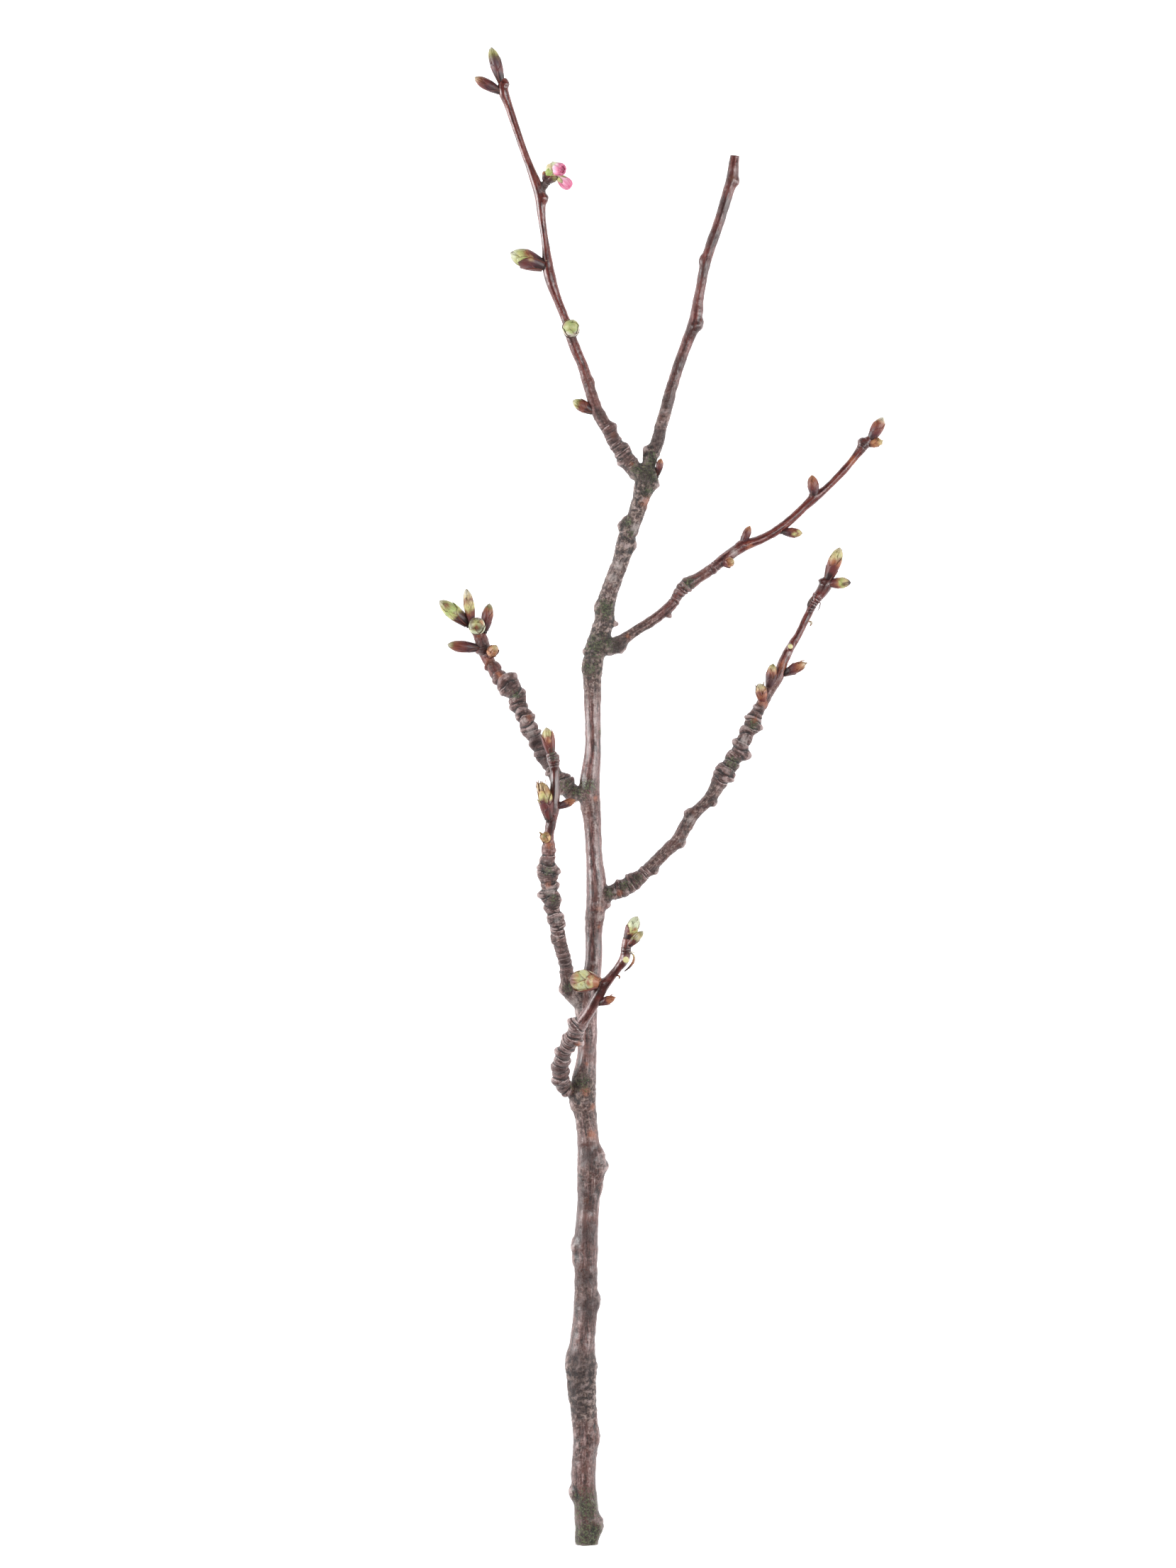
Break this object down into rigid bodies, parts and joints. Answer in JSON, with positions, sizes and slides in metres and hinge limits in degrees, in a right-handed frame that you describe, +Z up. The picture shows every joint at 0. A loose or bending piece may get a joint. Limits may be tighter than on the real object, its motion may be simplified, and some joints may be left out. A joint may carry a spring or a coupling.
{
  "type": "cherry blossom sprig",
  "caption": "Cut cherry sprig lying down: forked woody stem, ringed spurs, slender shoots with scaly buds, and one blossom opening from green bracts.",
  "frame": {"origin": "middle of the sprig's outline, on the surface it lies on", "axes": "+Y along the stem from the cut foot towards the tips, +X to the right seen from above, +Z up from the surface"},
  "size_m": [0.1568, 0.5265, 0.0372],
  "materials": {
    "bark": "rough grey-brown bark, glossy red-brown on young shoots and bud scales",
    "bract_green": "soft pale green bract, thin and slightly translucent",
    "petal_pink": "silky pink petals, deeper pink in the folds"
  },
  "bodies": {
    "root": {"branch": "bark", "blossom_bracts": "bract_green", "flower_bud_upper": "petal_pink", "flower_bud_lower": "petal_pink"}
  },
  "joints": []
}
